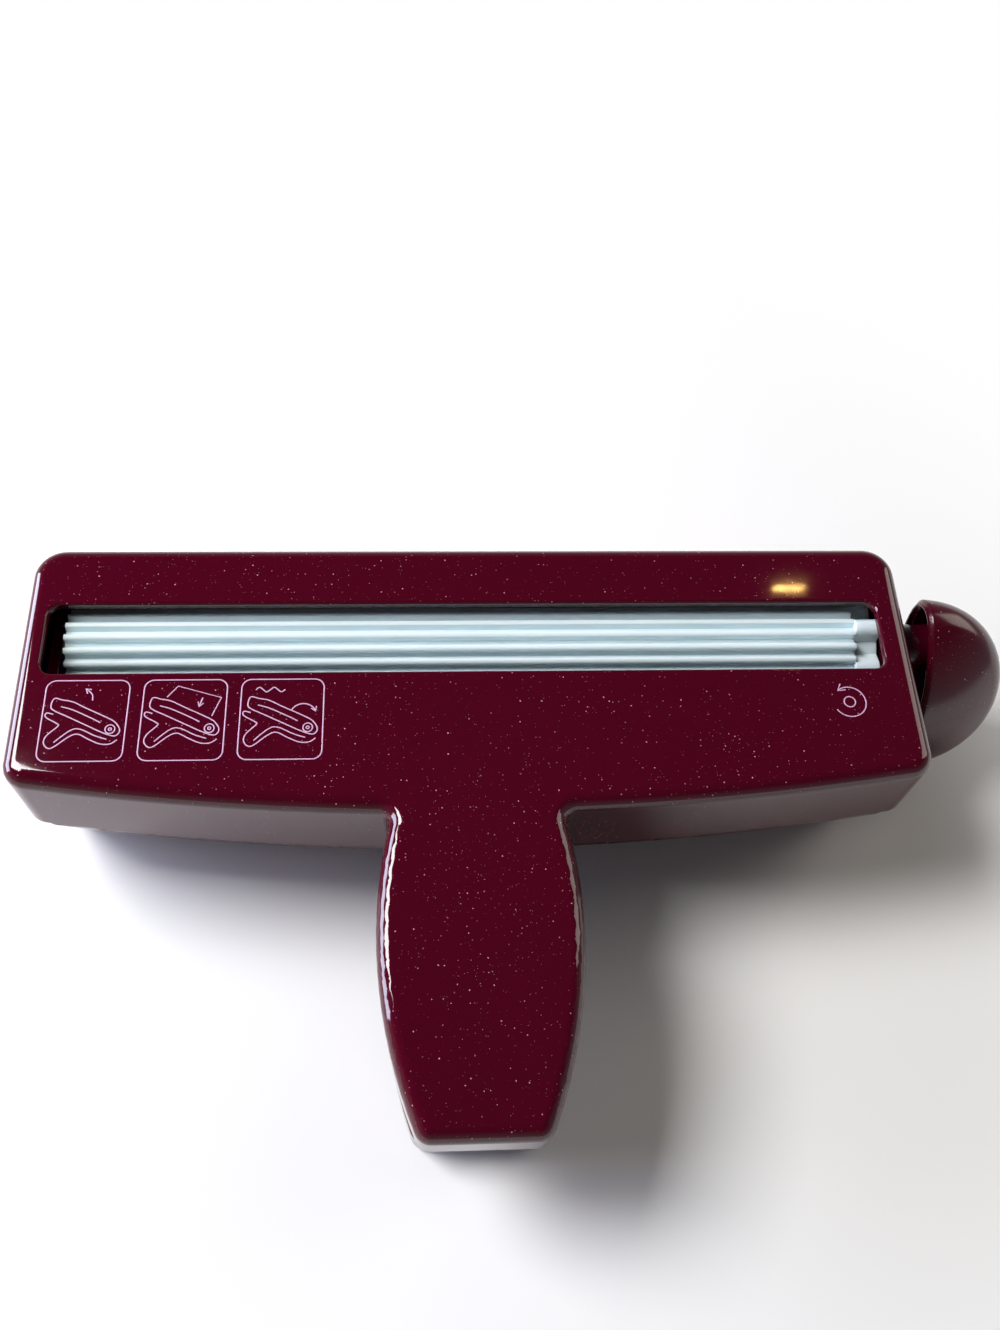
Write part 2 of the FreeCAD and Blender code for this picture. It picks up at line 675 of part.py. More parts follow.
def make_upper_shell():
    body = new_body("upper_shell")
    casing_block(body, "upper_casing", UPPER_RIM, ZERO, ZERO, S.upper_height, False)
    plan = handle_plan(body, "upper_handle_plan", UPPER_HANDLE, ZERO, FRONT_MIDDLE + S.wall / 3, UPPER_RIM)
    pad(body, "upper_handle", plan, S.upper_height)
    half_root = S.handle_width.value / 2
    fillet(body, "upper_neck", S.neck_fillet,
           lambda edge, at: is_upright(edge) and abs(at.x) < half_root and near(at.y, FRONT_MIDDLE.value, 1))
    round_tip(body, UPPER_HANDLE, ZERO)
    trim_top(body, UPPER_HANDLE, ZERO)
    trim_under(body, UPPER_HANDLE, ZERO, ZERO, "under")
    fillet(body, "upper_top_edge", S.top_edge, on_upper_top)
    core = casing_core("upper_core", UPPER_RIM, ZERO, S.upper_height, False)
    join_body(body, "upper_hollow", core, "Cut")
    join_body(body, "upper_handle_hollow", handle_core("upper_handle_core", UPPER_HANDLE), "Cut")

    top_of_rib = UPPER_AXIS + S.rib_height
    deck_top = UPPER_RIM + S.deck_wall
    for side, start in (("left", LEFT_RIB_OUTER), ("right", RIGHT_RIB)):
        slab = rib_slab(f"upper_{side}_rib", start, deck_top + S.boss_room, top_of_rib)
        add_rib(body, slab, UPPER_RIM, ZERO, S.upper_height, False)
    bore(body, "upper_left_bore", LEFT_RIB_OUTER - 1, S.rib_width + 2, UPPER_AXIS, BUSH_RADIUS)
    bore(body, "upper_crank_bore", RIGHT_RIB, HALF_LENGTH - RIGHT_RIB + 1, UPPER_AXIS, BUSH_RADIUS)
    add_bosses(body, "upper_deck_bosses", DECK_SCREWS, deck_top + S.boss_room, CEILING + S.wall / 2)
    drill(body, "upper_deck_threads", DECK_SCREWS, deck_top + S.boss_room,
          S.head_height + S.screw_length + S.thread_end - S.deck_wall - S.boss_room, THREAD_HOLE, True)
    add_liner_bosses(body, UPPER_HANDLE)

    window = Outline(body, "window_outline", offset=TOP_FACE)
    left, right = S.window_left - HALF_LENGTH, HALF_LENGTH - S.window_right
    front, back = ROLLER_Y - S.window_front, ROLLER_Y + S.window_back
    window.box(left, right, front, back)
    pocket(body, "window", window, S.wall + 0.1)
    low, high = front.value, back.value
    fillet(body, "window_corners", S.window_corner,
           lambda edge, at: is_upright(edge) and at.z > CEILING.value
           and (near(at.y, low) or near(at.y, high)))
    fillet(body, "window_lip", S.window_lip,
           lambda edge, at: near(at.z, TOP_FACE.value) and low - 0.1 < at.y < high + 0.1
           and left.value - 0.1 < at.x < right.value + 0.1)
    add_hinge(body, (-EAR_OFFSET, EAR_OFFSET), S.ear_width, 1, S.pin_radius + S.running)
    return body


def on_upper_top(edge, at):
    """The outer edge of the upper casing's top and of its handle's falling top."""
    handle = UPPER_HANDLE
    seam = near(at.x, 0, 1) and near(at.y, handle.top_start.value)
    if seam:
        return False
    if at.y > handle.top_start.value:
        return near(at.z, TOP_FACE.value)
    run = handle.top_start.value - at.y
    arc = handle.top_arc.value
    return near(at.z, handle.top.value - arc + math.sqrt(arc ** 2 - run ** 2), 0.3)


def make_lower_shell():
    body = new_body("lower_shell")
    casing_block(body, "lower_casing", LOWER_RIM, S.lower_inset, ZERO, S.lower_height, True)

    grip = new_body("lower_grip")
    plan = handle_plan(grip, "lower_grip_plan", LOWER_HANDLE, ZERO, FRONT_CORNER, ZERO)
    pad(grip, "lower_grip_block", plan, LOWER_RIM)
    round_tip(grip, LOWER_HANDLE, ZERO)
    trim_top(grip, LOWER_HANDLE, ZERO)
    trim_under(grip, LOWER_HANDLE, ZERO, -as_size(5), "under")
    join_body(body, "lower_handle", grip, "Fuse")
    half_root = S.handle_width.value / 2
    fillet(body, "lower_neck", S.neck_fillet,
           lambda edge, at: is_neck(edge, at) and abs(at.x) < half_root)
    fillet(body, "grip_edge", S.grip_edge, on_grip_top)
    fillet(body, "under_edge", S.under_edge, lambda edge, at: near(at.z, 0))
    core = casing_core("lower_core", LOWER_RIM, S.lower_inset, S.lower_height, True)
    join_body(body, "lower_hollow", core, "Cut")
    join_body(body, "lower_handle_hollow", handle_core("lower_handle_core", LOWER_HANDLE), "Cut")

    top_of_rib = LOWER_RIM - S.deck_wall - S.boss_room
    for side, start in (("left", LEFT_RIB_OUTER), ("right", RIGHT_RIB)):
        slab = rib_slab(f"lower_{side}_rib", start, ZERO, top_of_rib)
        add_rib(body, slab, LOWER_RIM, S.lower_inset, S.lower_height, True)
        bore(body, f"lower_{side}_bore", start, S.rib_width, LOWER_AXIS, BUSH_RADIUS)
    add_bosses(body, "lower_deck_bosses", DECK_SCREWS, S.wall / 2, top_of_rib)
    drill(body, "lower_deck_threads", DECK_SCREWS, top_of_rib,
          S.head_height + S.screw_length + S.thread_end - S.deck_wall - S.boss_room, THREAD_HOLE)
    add_liner_bosses(body, LOWER_HANDLE)
    outer, inner = HALF_LENGTH - S.lower_inset - 0.1, END_WALL - S.lower_inset + 0.1
    lips = Outline(body, "lips_outline", offset=LOWER_RIM - 1)
    front, back = FRONT_CORNER + S.lip_front, BACK_FACE - S.lip_back
    lips.box(inner, outer, front, back)
    lips.box(-outer, -inner, front, back)
    pad(body, "lips", lips, S.lip_height + 1)
    add_hinge(body, (ZERO,), S.knuckle_width, -1, S.pin_radius)
    return body


def is_neck(edge, at):
    """An edge where the lower handle's side leaves the leaning front."""
    front = FRONT_MIDDLE + S.lower_inset + S.front_lean / S.lower_height * (LOWER_RIM - Size(at.z, "0"))
    return is_upright(edge) and near(at.y, front.value, 1)


def on_grip_top(edge, at):
    handle = LOWER_HANDLE
    if at.y > handle.top_start.value - 0.5:
        return False
    run = handle.top_start.value - at.y
    arc = handle.top_arc.value
    return near(at.z, handle.top.value - arc + math.sqrt(arc ** 2 - run ** 2), 0.5)


def make_deck(name, low, inset, front_extra, screw_level, recess_up):
    """Inner deck of a casing, with a slot for the roller and counterbored screw holes."""
    body = new_body(name)
    sides = inset + S.wall + S.seat_gap
    end, back = HALF_LENGTH - sides, BACK_FACE - sides
    front = FRONT_CORNER + sides + front_extra
    plan = Outline(body, f"{name}_plan", offset=low).loop([
        (-end, front, arc_radius(end, S.front_bow), 1), (end, front), (end, back), (-end, back)])
    pad(body, f"{name}_plate", plan, S.deck_wall)
    fillet(body, f"{name}_back_corners", S.back_corner - S.wall - S.seat_gap,
           lambda edge, at: is_upright(edge) and near(at.y, back.value))
    fillet(body, f"{name}_front_corners", S.front_corner - S.wall,
           lambda edge, at: is_upright(edge) and near(at.y, front.value))
    slot = Outline(body, f"{name}_slot_outline", offset=low)
    slot.box(LEFT_RIB + S.slot_room, RIGHT_RIB - S.slot_room,
             ROLLER_Y - S.slot_half, ROLLER_Y + S.slot_half)
    pocket(body, f"{name}_slot", slot, S.deck_wall, True)
    drill(body, f"{name}_holes", DECK_SCREWS, low, S.deck_wall, SCREW_HOLE, True)
    drill(body, f"{name}_recesses", DECK_SCREWS, screw_level, S.head_height, HEAD_HOLE, recess_up)
    return body


def make_liner(name, handle):
    """Curved plate that closes the open underside of a handle."""
    body = new_body(name)
    inset = S.wall + S.seat_gap
    low, high = -as_size(5), handle.top - S.wall * 2
    plan = handle_plan(body, f"{name}_plan", handle, inset, handle.hollow_start - S.seat_gap, low)
    pad(body, f"{name}_block", plan, high - low)
    round_tip(body, handle, inset)
    trim_under(body, handle, S.deck_wall, high + 5, "inside")
    for end, place in (("near", NEAR_SCREW), ("far", FAR_SCREW)):
        seat = handle.seat_at(place)
        cup = Outline(body, f"{name}_{end}_cup_outline", offset=seat - 3).circle(ZERO, place, S.cup_radius)
        pad(body, f"{name}_{end}_cup", cup, S.head_height + 3)
    trim_under(body, handle, ZERO, low - 5, "outside")
    for end, place in (("near", NEAR_SCREW), ("far", FAR_SCREW)):
        seat = handle.seat_at(place)
        drill(body, f"{name}_{end}_recess", [(ZERO, place)], seat, S.wall * 2, HEAD_HOLE)
        drill(body, f"{name}_{end}_hole", [(ZERO, place)], seat, S.wall * 2, SCREW_HOLE, True)
    return body


# ------------------------------------------------------------ turning parts


def add_ring(body, name, start, end, shift, outer, inner=None):
    """A disc or ring along X."""
    outline = Outline(body, f"{name}_outline", "YZ_Plane", start, shift).circle(ZERO, ZERO, outer)
    if inner is not None:
        outline.circle(ZERO, ZERO, inner)
    return pad(body, name, outline, end - start)


def make_toothed(name, start, end, axis, phase, core, shoulder, foot, top, crest, count):
    """A ridged roller or a gear. phase is up for a tooth above the axis, or half a pitch aside."""
    body = new_body(name)
    shift = (ROLLER_Y, axis)
    add_ring(body, f"{name}_core", start, end, shift, core, S.axle_radius)
    outline = Outline(body, f"{name}_tooth_outline", "YZ_Plane", start, shift)
    if phase is not ZERO:
        outline.turn(phase)
    low = core - S.tooth_sink
    outline.loop([(foot / 2, low), (top / 2, shoulder, crest, 1), (-top / 2, shoulder), (-foot / 2, low)])
    tooth = pad(body, f"{name}_tooth", outline, end - start)
    ring = body.newObject("PartDesign::PolarPattern", f"{name}_teeth")
    ring.Originals = [tooth]
    ring.Axis = (outline.sketch, ["N_Axis"])
    ring.Angle = 360
    ring.Occurrences = int(count.value)
    ring.setExpression("Occurrences", count.formula)
    body.Tip = ring
    doc.recompute()
    return body


def make_bush(name, axis, sleeve_start, sleeve_end, flange_start, flange_end):
    body = new_body(name)
    shift = (ROLLER_Y, axis)
    add_ring(body, f"{name}_sleeve", sleeve_start, sleeve_end, shift, BUSH_RADIUS, AXLE_BORE)
    add_ring(body, f"{name}_flange", flange_start, flange_end, shift, S.flange_radius, AXLE_BORE)
    return body


def make_axle(name, axis, right, flats):
    """Steel axle with a groove for its clip and, on the crank's side, two flats."""
    body = new_body(name)
    shift = (ROLLER_Y, axis)
    add_ring(body, f"{name}_rod", AXLE_LEFT, right, shift, S.axle_radius)
    groove = Outline(body, f"{name}_groove_outline", "YZ_Plane", CLIP_LEFT, shift)
    groove.circle(ZERO, ZERO, S.axle_radius + 1).circle(ZERO, ZERO, S.clip_groove)
    pocket(body, f"{name}_groove", groove, S.clip_width, True)
    if flats:
        reach = S.axle_radius + 1
        level = S.axle_radius - S.axle_flat
        outline = Outline(body, f"{name}_flats_outline", "YZ_Plane", right, shift)
        outline.box(-reach, reach, level, reach).box(-reach, reach, -reach, -level)
        pocket(body, f"{name}_flats", outline, S.axle_grip)
    chamfer(body, f"{name}_ends", S.axle_chamfer,
            lambda edge, at: near(at.x, AXLE_LEFT.value) or near(at.x, right.value))
    return body


def make_clip(name, axis):
    body = new_body(name)
    shift = (ROLLER_Y, axis)
    add_ring(body, f"{name}_ring", CLIP_LEFT, CLIP_RIGHT, shift, S.clip_radius, S.clip_groove)
    mouth = Outline(body, f"{name}_mouth_outline", "YZ_Plane", CLIP_LEFT, shift)
    mouth.box(-S.clip_mouth / 2, S.clip_mouth / 2, ZERO, S.clip_radius + 1)
    pocket(body, f"{name}_mouth", mouth, S.clip_width, True)
    return body


def add_half_egg(body, name, wall):
    """Half an egg that bulges along X from the crank's rim, round along the lever and flat across.

    It is half a turn of an oval about its short axis. The oval's sides are arcs about centres on
    that axis and run into the round nose.
    """
    reach, half, nose = S.crank_reach - wall, S.crank_half - wall, S.crank_nose - wall
    centre = reach - nose
    side = (centre * centre + half * half - nose * nose) / ((half - nose) * 2)
    joint_x = centre * side / (side - nose)
    joint_y = (side - half) * nose / (side - nose)
    outline = Outline(body, f"{name}_outline", "YZ_Plane", CRANK_RIM, (CRANK_Y, CRANK_Z))
    outline.turn(S.crank_slope).loop([
        (ZERO, -half, side, 1), (joint_x, -joint_y, nose, 1), (joint_x, joint_y, side, 1), (ZERO, half)])
    egg = body.newObject("PartDesign::Revolution", name)
    egg.Profile = outline.sketch
    egg.ReferenceAxis = (outline.sketch, ["V_Axis"])
    egg.Angle = 180
    egg.Reversed = True
    doc.recompute()


def make_crank():
    """Crank: a lever in the form of half an egg, hollow towards the casing, with a boss inside."""
    body = new_body("crank_knob")
    shift = (ROLLER_Y, UPPER_AXIS)
    add_half_egg(body, "crank_egg", ZERO)
    core = new_body("crank_core")
    add_half_egg(core, "core_egg", S.crank_wall)
    boss = Outline(core, "boss_outline", "YZ_Plane", CRANK_RIM, shift).circle(ZERO, ZERO, S.hub_boss)
    pocket(core, "boss_room", boss, S.crank_reach, True)
    join_body(body, "crank_hollow", core, "Cut")
    chamfer(body, "crank_lip", S.crank_lip, on_crank_rim)
    add_ring(body, "hub_boss", BOSS_FACE, CRANK_RIM + S.crank_wall, shift, S.hub_boss)
    grip = S.axle_radius + S.grip_room
    level = grip - S.axle_flat
    chord = root(grip * grip - level * level)
    bore_outline = Outline(body, "grip_outline", "YZ_Plane", BOSS_FACE, shift).loop([
        (chord, -level, grip, 1), (chord, level), (-chord, level, grip, 1), (-chord, -level)])
    pocket(body, "grip", bore_outline, S.axle_grip + 0.3, True)
    return body


def on_crank_rim(edge, at):
    """The rim's inner and outer edge, but not the boss's."""
    from_axle = math.hypot(at.y - ROLLER_Y.value, at.z - UPPER_AXIS.value)
    return near(at.x, CRANK_RIM.value) and not near(from_axle, S.hub_boss.value)


def make_washer():
    body = new_body("thrust_washer")
    add_ring(body, "washer_ring", WASHER_LEFT, BOSS_FACE, (ROLLER_Y, UPPER_AXIS),
             S.washer_radius, S.axle_radius)
    return body


# ------------------------------------------------------------ screws and pins


def make_screw():
    """One self-tapping screw. Its head bears on the level of the origin and its shank points up."""
    body = new_body("screw")
    head = Outline(body, "head_outline", offset=-S.head_height).circle(ZERO, ZERO, S.screw_head)
    pad(body, "head", head, S.head_height)
    shank = Outline(body, "shank_outline").circle(ZERO, ZERO, S.screw_radius)
    pad(body, "shank", shank, S.screw_length)
    chamfer(body, "point", S.screw_point, lambda edge, at: near(at.z, S.screw_length.value))
    arm, reach = S.recess_width / 2, S.recess_half
    cross = Outline(body, "recess_outline", offset=-S.head_height).loop([
        (arm, arm), (arm, reach), (-arm, reach), (-arm, arm), (-reach, arm), (-reach, -arm),
        (-arm, -arm), (-arm, -reach), (arm, -reach), (arm, -arm), (reach, -arm), (reach, arm)])
    pocket(body, "recess", cross, S.recess_depth, True)
    return body


def make_screws(name, screw, places):
    """Copies of one screw at (x, y, level, upside down)."""
    copies = []
    for number, (x, y, level, flipped) in enumerate(places, start=1):
        copy = doc.addObject("App::Link", f"{name}_{number}")
        copy.LinkedObject = screw
        turn = FreeCAD.Rotation(V(1, 0, 0), 180 if flipped else 0)
        copy.Placement = FreeCAD.Placement(V(x.value, y.value, level.value), turn)
        for axis, size in zip("xyz", (x, y, level)):
            copy.setExpression(f"Placement.Base.{axis}", size.formula)
        copies.append(copy)
    screws = doc.addObject("Part::Compound", name)
    screws.Label = name
    screws.Links = copies
    doc.recompute()
    return screws


def liner_places(handle):
    return [(ZERO, place, handle.seat_at(place), False) for place in (NEAR_SCREW, FAR_SCREW)]


def make_pin(name, side):
    """Hinge pin with its head at the casing's outer end."""
    body = new_body(name)
    inner, outer = HINGE_X - HINGE_HALF, HINGE_X + HINGE_HALF + S.pin_play
    shift = (HINGE_Y, PAPER_PLANE)
    if side > 0:
        add_ring(body, f"{name}_shank", inner, outer, shift, S.pin_radius)
        add_ring(body, f"{name}_head", outer, outer + S.pin_head_width, shift, S.pin_head)
    else:
        add_ring(body, f"{name}_shank", -outer, -inner, shift, S.pin_radius)
        add_ring(body, f"{name}_head", -outer - S.pin_head_width, -outer, shift, S.pin_head)
    tip = inner.value * side
    chamfer(body, f"{name}_tip", S.axle_chamfer, lambda edge, at: near(at.x, tip))
    return body


# ------------------------------------------------------------ the whole machine

RIDGES = (S.ridge_root, S.ridge_shoulder, S.ridge_foot, S.ridge_top, S.ridge_crest, S.ridge_count)
LOBES = (S.lobe_root, S.lobe_shoulder, S.lobe_foot, S.lobe_top, S.lobe_crest, S.lobe_count)
LEAN_AT_DECK = S.front_lean * S.deck_wall / S.lower_height
LOWER_DECK = LOWER_RIM - S.deck_wall
AXLE_END = RIGHT_RIB + S.rib_width * 0.6
HALF_TURN = as_size(180)

screw = make_screw()
upper_places = [(x, y, UPPER_RIM + S.head_height, False) for x, y in DECK_SCREWS]
lower_places = [(x, y, LOWER_RIM - S.head_height, True) for x, y in DECK_SCREWS]

NODES = [
    make_lower_shell(),
    make_deck("lower_deck", LOWER_DECK, S.lower_inset, LEAN_AT_DECK, LOWER_RIM, False),
    make_liner("lower_handle_liner", LOWER_HANDLE),
    make_bush("lower_bush_left", LOWER_AXIS, LEFT_RIB_OUTER, LEFT_RIB, LEFT_RIB, LEFT_RIB + S.flange_width),
    make_bush("lower_bush_right", LOWER_AXIS, RIGHT_RIB, END_WALL, RIGHT_RIB - S.flange_width, RIGHT_RIB),
    make_screws("lower_screws", screw, lower_places + liner_places(LOWER_HANDLE)),
    make_pin("hinge_pin_left", -1),
    make_pin("hinge_pin_right", 1),
    make_toothed("lower_roller", ROLLER_LEFT, ROLLER_RIGHT, LOWER_AXIS, ZERO, *RIDGES),
    make_toothed("lower_gear", ROLLER_RIGHT, GEAR_RIGHT, LOWER_AXIS, HALF_TURN / S.lobe_count, *LOBES),
    make_axle("lower_axle", LOWER_AXIS, AXLE_END, False),
    make_clip("lower_axle_clip", LOWER_AXIS),
    make_upper_shell(),
    make_deck("upper_deck", UPPER_RIM, ZERO, ZERO, UPPER_RIM, True),
    make_liner("upper_handle_liner", UPPER_HANDLE),
    make_bush("upper_bush_left", UPPER_AXIS, LEFT_RIB_OUTER, LEFT_RIB, LEFT_RIB, LEFT_RIB + S.flange_width),
    make_bush("upper_bush_crank", UPPER_AXIS, RIGHT_RIB, CRANK_BUSH_END,
              RIGHT_RIB - S.flange_width, RIGHT_RIB),
    make_screws("upper_screws", screw, upper_places + liner_places(UPPER_HANDLE)),
    make_toothed("upper_roller", ROLLER_LEFT, ROLLER_RIGHT, UPPER_AXIS, HALF_TURN / S.ridge_count, *RIDGES),
    make_toothed("upper_gear", ROLLER_RIGHT, GEAR_RIGHT, UPPER_AXIS, ZERO, *LOBES),
    make_axle("upper_axle", UPPER_AXIS, AXLE_RIGHT, True),
    make_clip("upper_axle_clip", UPPER_AXIS),
    make_crank(),
    make_washer(),
]
doc.recompute()

os.makedirs("parts", exist_ok=True)
for item in doc.Objects:
    if "Invalid" in item.State or "Error" in item.State:
        raise RuntimeError(f"{item.Name}: {item.State}")
for node in NODES:
    if node.Shape.isNull() or not node.Shape.isValid():
        raise RuntimeError(f"{node.Label}: bad shape")
    print(node.Label, round(node.Shape.Volume), len(node.Shape.Solids), len(node.Shape.Faces))
    node.Shape.exportStep(f"parts/{node.Label}.step")
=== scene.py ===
import math

import bpy
from bpy.props import FloatProperty, FloatVectorProperty, PointerProperty
from mathutils import Matrix, Vector


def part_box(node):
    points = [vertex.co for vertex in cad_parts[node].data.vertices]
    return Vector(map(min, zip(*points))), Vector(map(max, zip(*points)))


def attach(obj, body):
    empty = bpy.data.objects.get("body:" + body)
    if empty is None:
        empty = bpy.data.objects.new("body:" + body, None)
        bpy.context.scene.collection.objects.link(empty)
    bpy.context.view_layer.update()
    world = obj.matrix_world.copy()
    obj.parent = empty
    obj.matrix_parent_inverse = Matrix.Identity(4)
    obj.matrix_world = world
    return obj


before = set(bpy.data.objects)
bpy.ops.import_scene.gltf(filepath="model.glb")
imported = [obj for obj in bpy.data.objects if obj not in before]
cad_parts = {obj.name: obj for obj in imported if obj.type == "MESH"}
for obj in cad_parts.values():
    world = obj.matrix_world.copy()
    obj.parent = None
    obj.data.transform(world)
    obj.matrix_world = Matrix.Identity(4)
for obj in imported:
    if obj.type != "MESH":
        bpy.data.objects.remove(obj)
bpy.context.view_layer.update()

bl_info = {
    "name": "Paper Crimper",
    "version": (1, 0, 0),
    "blender": (4, 5, 0),
    "location": "3D View > Sidebar > Crimper",
    "description": "Finishes, printed marks and studio for a hand paper crimper with a crank",
    "category": "Object",
}

MM = 0.001
UPPER_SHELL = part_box("upper_shell")
TOP_FACE = UPPER_SHELL[1].z
CASING_END = UPPER_SHELL[1].x
AXLE_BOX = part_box("upper_axle")
WINDOW_REACH = 16.5 * MM  # from the roller axes to the window's front edge
WINDOW_FRONT = (AXLE_BOX[0].y + AXLE_BOX[1].y) / 2 - WINDOW_REACH

ABS_IOR = 1.54
SHARP_TURN = math.radians(32)  # edges that turn by more than this stay sharp

# The large glitter flakes, and small ones between them: brightness, width and spacing as shares of
# the large ones', and how many millimetres the pattern is moved so that the two don't line up.
FLAKES = ((1.0, 1.0, 1.0, 0.0), (0.45, 0.6, 0.52, 31.0))


def linear(code):
    """An sRGB hex value as linear red, green and blue."""
    channels = [int(code[place:place + 2], 16) / 255 for place in (1, 3, 5)]
    return tuple(c / 12.92 if c <= 0.04045 else ((c + 0.055) / 1.055) ** 2.4 for c in channels)


def colour(label, code, text):
    """A colour that can be set, written as its sRGB hex value."""
    return FloatVectorProperty(name=label, description=text, subtype="COLOR", size=3, min=0, max=1,
                               default=linear(code))


def length(label, value, text):
    """A length that can be set, written in millimetres."""
    return FloatProperty(name=label, description=text, unit="LENGTH", default=value * MM)


# ------------------------------------------------------------ what a user would change


class CrimperFinish(bpy.types.PropertyGroup):
    """Colours, grain and edges of the crimper's finished pieces."""
    burgundy: colour("Burgundy", "#460217", "Moulded ABS of casings and crank")
    fleck: colour("Glitter", "#DC9CAE", "Glitter flakes in the burgundy ABS")
    fleck_radius: length("Glitter radius", 0.2, "Half the width of a large glitter flake")
    fleck_spacing: length("Glitter spacing", 1.55, "Distance between large glitter flakes")
    inner: colour("Inner burgundy", "#3A0413", "Satin ABS of decks and liners")
    white: colour("White", "#E2F1F5", "Moulded plastic of rollers and gears")
    acetal: colour("Acetal", "#D9D5CB", "Bearing bushes and washer")
    steel: colour("Steel", "#B9B9BC", "Axles, pins and clips")
    zinc: colour("Zinc", "#A9ABB0", "Plated screws")
    ink: colour("Ink", "#CFA6C6", "Pad-printed marks")
    crank_rim: length("Crank rim", 0.7, "Width of the round on the crank's rim")


class CrimperPrint(bpy.types.PropertyGroup):
    """Sizes of the printed marks."""
    line: length("Line", 0.36, "Width of a printed line")
    ink_height: length("Ink height", 0.05, "How far the ink stands above the plastic")
    panel: length("Panel", 22.5, "Width of a pictogram's frame")
    panel_height: length("Panel height", 24.2, "Height of a pictogram's frame")
    panel_corner: length("Panel corner", 2.6, "Corner radius of a pictogram's frame")
    pitch: length("Pitch", 26.4, "From one pictogram's frame to the next")
    from_left: length("From left", 20.8, "Middle of the first frame from the casing's left end")
    from_window: length("From window", 14.6, "Middle of the frames in front of the window's edge")
    arrow_radius: length("Turn arrow", 4.6, "Radius of the turning arrow")
    arrow_from_right: length("Arrow from right", 21.5,
                             "Middle of the turning arrow from the casing's right end")


class CrimperStage(bpy.types.PropertyGroup):
    """Camera, floor and light."""
    eye: FloatVectorProperty(name="Camera", description="Place of the camera", subtype="XYZ", unit="LENGTH",
                             default=(-0.0128, -0.1703, 0.3680))
    tilt: FloatProperty(name="Tilt", description="Camera's angle from straight down", subtype="ANGLE",
                        default=math.radians(28.61))
    roll: FloatProperty(name="Roll", description="Turn about the line of sight", subtype="ANGLE",
                        default=math.radians(5.60))
    yaw: FloatProperty(name="Yaw", description="Turn about the vertical", subtype="ANGLE",
                       default=math.radians(-6.81))
    lens: FloatProperty(name="Lens", description="Focal length for a 36 mm long side", default=33.83)
    floor: colour("Floor", "#F1F0EE", "Pale floor")
    fade_start: length("Fade start", 140, "Distance at which the floor starts to fade to white")
    fade_end: length("Fade end", 300, "Distance from which the floor is plain white")


# ------------------------------------------------------------ shader helper


def add_node(tree, kind, inputs=None, links=None, **settings):
    """Add one shader node with its settings, its values and its links."""
    node = tree.nodes.new(kind)
    for name, value in settings.items():
        setattr(node, name, value)
    for socket, value in (inputs or {}).items():
        node.inputs[socket].default_value = value
    for socket, source in (links or {}).items():
        tree.links.new(source, node.inputs[socket])
    return node


def new_material(name):
    """A material with only a Principled shader and its output."""
    material = bpy.data.materials.new(name)
    material.use_nodes = True
    tree = material.node_tree
    shader = next(node for node in tree.nodes if node.type == "BSDF_PRINCIPLED")
    return material, tree, shader


def millimetres(tree):
    """Object coordinates in millimetres, so a pattern's scale is one over its size in millimetres."""
    place = add_node(tree, "ShaderNodeTexCoord")
    scaled = add_node(tree, "ShaderNodeMapping", {"Scale": (1 / MM,) * 3},
                      {"Vector": place.outputs["Object"]})
    return scaled.outputs["Vector"]


def rgba(tint):
    """A colour with full opacity, as colour sockets take it."""
    return (*tint, 1.0)


# ------------------------------------------------------------ materials


